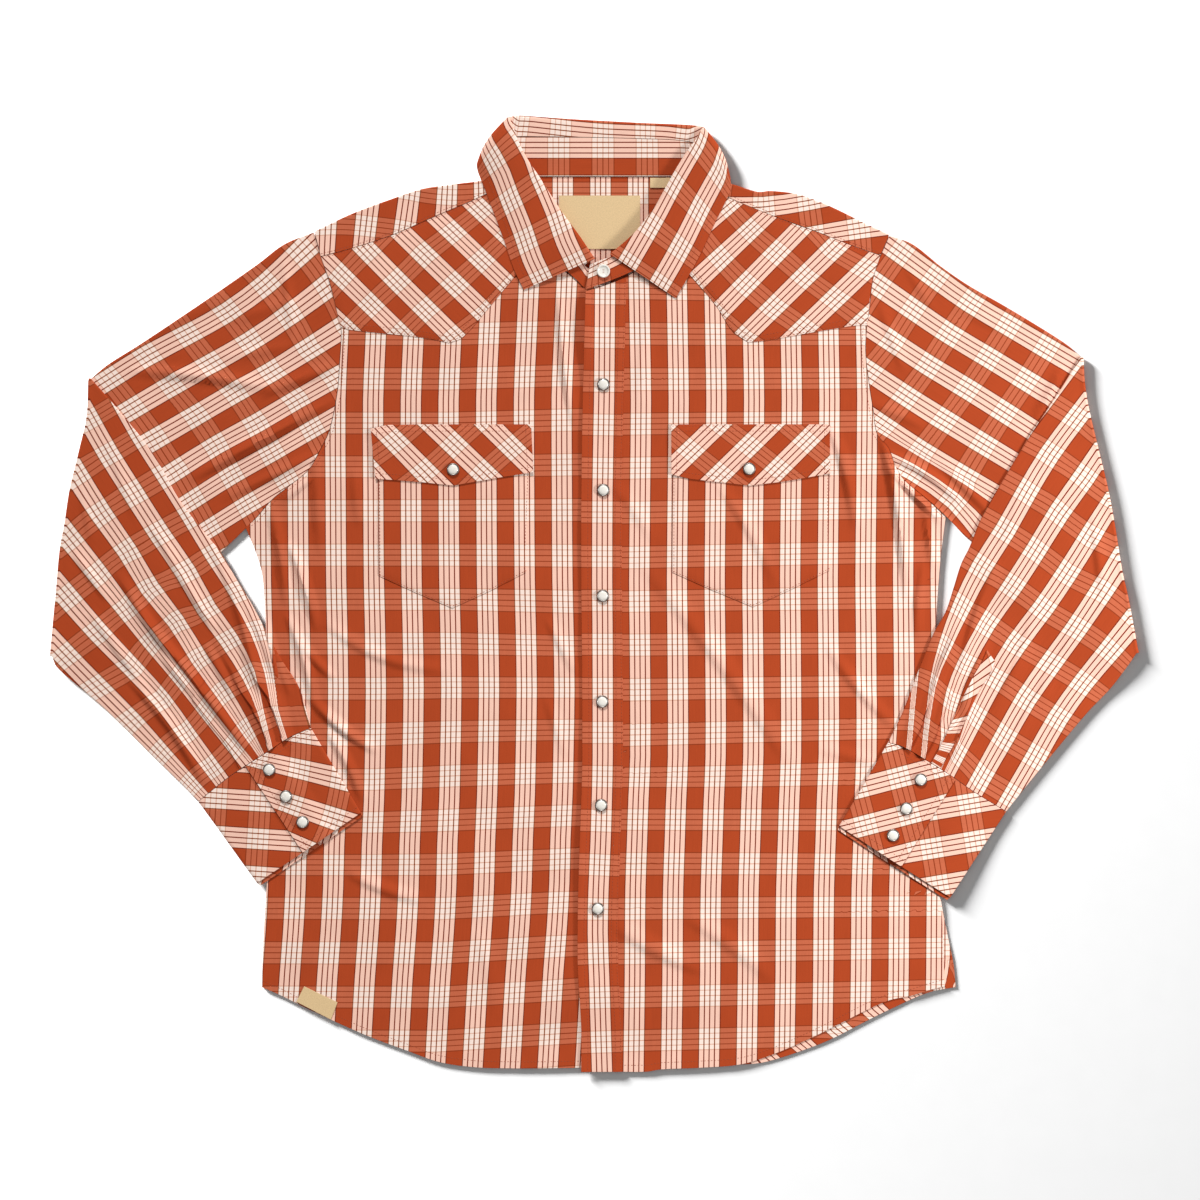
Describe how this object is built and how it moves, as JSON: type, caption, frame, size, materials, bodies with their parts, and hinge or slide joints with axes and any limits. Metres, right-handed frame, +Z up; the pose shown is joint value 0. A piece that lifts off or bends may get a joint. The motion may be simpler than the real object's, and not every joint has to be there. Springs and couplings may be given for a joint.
{
  "type": "western snap shirt laid flat",
  "caption": "Long-sleeved checked shirt with pointed yokes, flapped pockets and a snap front, laid flat on its back with both sleeves folded over the body.",
  "frame": {"origin": "middle of the underside, on the surface that the shirt lies on", "axes": "+X to the wearer's left, +Y towards the collar, +Z up from the surface, out of the shirt's front"},
  "size_m": [0.9802, 0.8601, 0.0112],
  "materials": {
    "cotton_check": "woven cotton check, matt",
    "cotton_check_bias": "woven cotton check cut on the bias, matt",
    "woven_tag": "plain woven tag",
    "pearl_snap": "pearly cap in a metal rim"
  },
  "bodies": {
    "root": {"back": "cotton_check", "back_yoke": "cotton_check_bias", "front_right": "cotton_check", "front_left": "cotton_check", "yoke_right": "cotton_check_bias", "yoke_left": "cotton_check_bias", "front_band": "cotton_check", "pocket_right": "cotton_check", "pocket_left": "cotton_check", "flap_right": "cotton_check_bias", "flap_left": "cotton_check_bias", "sleeve_right": "cotton_check", "sleeve_left": "cotton_check", "gauntlet_right": "cotton_check", "gauntlet_left": "cotton_check", "cuff_right": "cotton_check_bias", "cuff_left": "cotton_check_bias", "collar_stand": "cotton_check_bias", "collar": "cotton_check", "neck_tag": "woven_tag", "size_tag": "woven_tag", "hem_tag": "woven_tag", "band_snap_1": "pearl_snap", "band_snap_2": "pearl_snap", "band_snap_3": "pearl_snap", "band_snap_4": "pearl_snap", "band_snap_5": "pearl_snap", "band_snap_6": "pearl_snap", "flap_snap_right": "pearl_snap", "flap_snap_left": "pearl_snap", "cuff_snap_right_1": "pearl_snap", "cuff_snap_right_2": "pearl_snap", "cuff_snap_right_3": "pearl_snap", "cuff_snap_left_1": "pearl_snap", "cuff_snap_left_2": "pearl_snap", "cuff_snap_left_3": "pearl_snap", "neck_button": "pearl_snap"}
  },
  "joints": []
}
